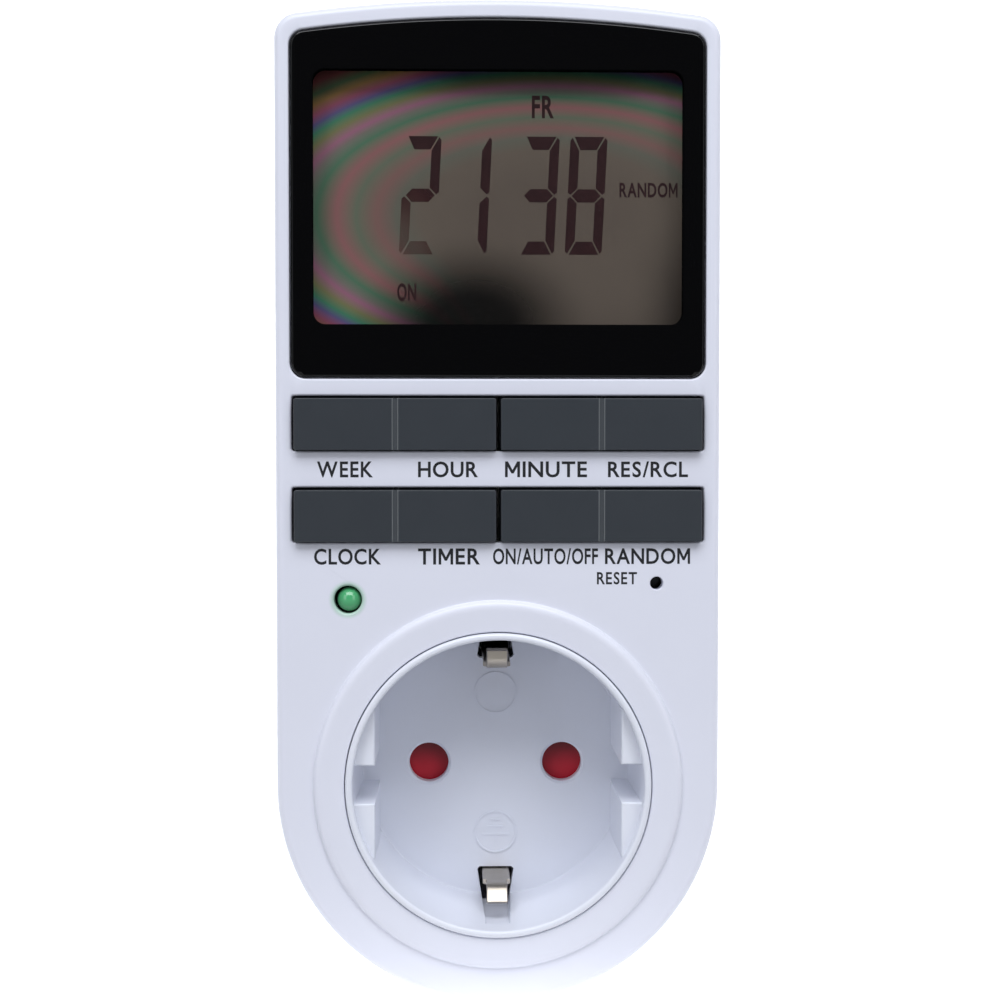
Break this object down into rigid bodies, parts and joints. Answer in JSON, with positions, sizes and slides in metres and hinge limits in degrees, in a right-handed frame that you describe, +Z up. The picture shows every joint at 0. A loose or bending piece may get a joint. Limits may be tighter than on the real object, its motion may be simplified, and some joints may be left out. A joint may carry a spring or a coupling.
{
  "type": "programmable plug-in timer",
  "caption": "Plug-in digital timer: arched white case with a display window, two rows of rocker keys, an earthed socket outlet in front and a matching plug behind",
  "frame": {"origin": "centre of the rear plug's end face, on the common axis of the plug and the socket outlet", "axes": "+X to the right as seen from the front, +Y towards the wall socket that the timer is plugged into, +Z up towards the display"},
  "size_m": [0.059, 0.0756, 0.1336],
  "materials": {
    "case_white": "satin moulded ABS, faint bluish white",
    "insert_white": "semi-gloss moulded polycarbonate",
    "lens_black": "polished acrylic, printed black behind",
    "key_grey": "fine-textured satin",
    "silicone_grey": "translucent matt silicone",
    "board_green": "solder mask over glass fibre",
    "epoxy_black": "cast epoxy",
    "lcd_glass": "polarised display glass with its reflector",
    "holder_white": "plain moulded",
    "zebra_pink": "layered conductive rubber",
    "led_green": "tinted clear epoxy",
    "switch_grey": "plain moulded",
    "steel": "zinc plated",
    "nickel": "nickel-plated brass",
    "brass": "bare stamped brass",
    "shutter_red": "semi-gloss moulded",
    "carrier_grey": "plain moulded thermoset",
    "relay_blue": "moulded case",
    "capacitor_red": "potted film capacitor case",
    "sleeve_black": "shrunk sleeve",
    "varistor_blue": "dipped epoxy",
    "resistor_blue": "lacquered",
    "wire_brown": "PVC insulation",
    "wire_blue": "PVC insulation",
    "ribbon_grey": "flat cable insulation"
  },
  "bodies": {
    "case": {"front_cover": "case_white", "rear_cover": "case_white", "display_lens": "lens_black", "lcd_glass": "lcd_glass", "zebra_strip_top": "zebra_pink", "zebra_strip_bottom": "zebra_pink", "lcd_holder": "holder_white", "keypad_mat": "silicone_grey", "control_board": "board_green", "controller_chip": "epoxy_black", "clock_crystal": "steel", "status_led": "led_green", "reset_switch": "switch_grey", "backup_battery": "steel", "battery_tab_negative": "nickel", "battery_tab_positive": "nickel", "socket_insert": "insert_white", "shutter_spring": "steel", "shutter_plate": "carrier_grey", "contact_carrier": "carrier_grey", "live_contact": "brass", "neutral_contact": "brass", "socket_earth_clip": "nickel", "plug_earth_clip": "nickel", "earth_rivet": "brass", "plug_pin_live": "nickel", "plug_pin_neutral": "nickel", "pin_retainer": "carrier_grey", "power_board": "board_green", "relay": "relay_blue", "dropper_capacitor": "capacitor_red", "smoothing_capacitor": "sleeve_black", "fuse_resistor": "resistor_blue", "varistor": "varistor_blue", "rectifier": "epoxy_black", "ribbon_cable": "ribbon_grey", "wire_live_in": "wire_brown", "wire_live_out": "wire_brown", "wire_neutral": "wire_blue", "wire_neutral_out": "wire_blue", "case_screw_1": "steel", "control_board_screw_1": "steel", "case_screw_2": "steel", "control_board_screw_2": "steel", "case_screw_3": "steel", "control_board_screw_3": "steel", "case_screw_4": "steel", "control_board_screw_4": "steel", "insert_screw_1": "steel", "carrier_screw_1": "steel", "power_board_screw_1": "steel", "insert_screw_2": "steel", "carrier_screw_2": "steel", "power_board_screw_2": "steel"},
    "key_week_hour_body": {"key_week_hour": "key_grey"},
    "key_minute_recall_body": {"key_minute_recall": "key_grey"},
    "key_clock_timer_body": {"key_clock_timer": "key_grey"},
    "key_mode_random_body": {"key_mode_random": "key_grey"},
    "reset_plunger": {"reset_button": "epoxy_black"},
    "shutter": {"shutter_rotor": "shutter_red"}
  },
  "joints": [
    {"name": "key_week_hour_rock", "type": "hinge", "parent": "case", "child": "key_week_hour_body", "pos_m": [-0.01367, -0.0514, 0.04822], "axis": [0, 0, 1], "range_deg": [-3.5, 3.5], "stiffness_Nm_per_rad": 0.2},
    {"name": "key_minute_recall_rock", "type": "hinge", "parent": "case", "child": "key_minute_recall_body", "pos_m": [0.01367, -0.0514, 0.04822], "axis": [0, 0, 1], "range_deg": [-3.5, 3.5], "stiffness_Nm_per_rad": 0.2},
    {"name": "key_clock_timer_rock", "type": "hinge", "parent": "case", "child": "key_clock_timer_body", "pos_m": [-0.01367, -0.0514, 0.03608], "axis": [0, 0, 1], "range_deg": [-3.5, 3.5], "stiffness_Nm_per_rad": 0.2},
    {"name": "key_mode_random_rock", "type": "hinge", "parent": "case", "child": "key_mode_random_body", "pos_m": [0.01367, -0.0514, 0.03608], "axis": [0, 0, 1], "range_deg": [-3.5, 3.5], "stiffness_Nm_per_rad": 0.2},
    {"name": "reset_press", "type": "slide", "parent": "case", "child": "reset_plunger", "axis": [0, 1, 0], "range_m": [0, 0.0003], "stiffness_N_per_m": 800},
    {"name": "shutter_turn", "type": "hinge", "parent": "case", "child": "shutter", "pos_m": [0, -0.0352, 0], "axis": [0, 1, 0], "range_deg": [0, 40], "stiffness_Nm_per_rad": 0.01, "springref_deg": -8.59, "deforming": ["shutter_spring"]}
  ]
}
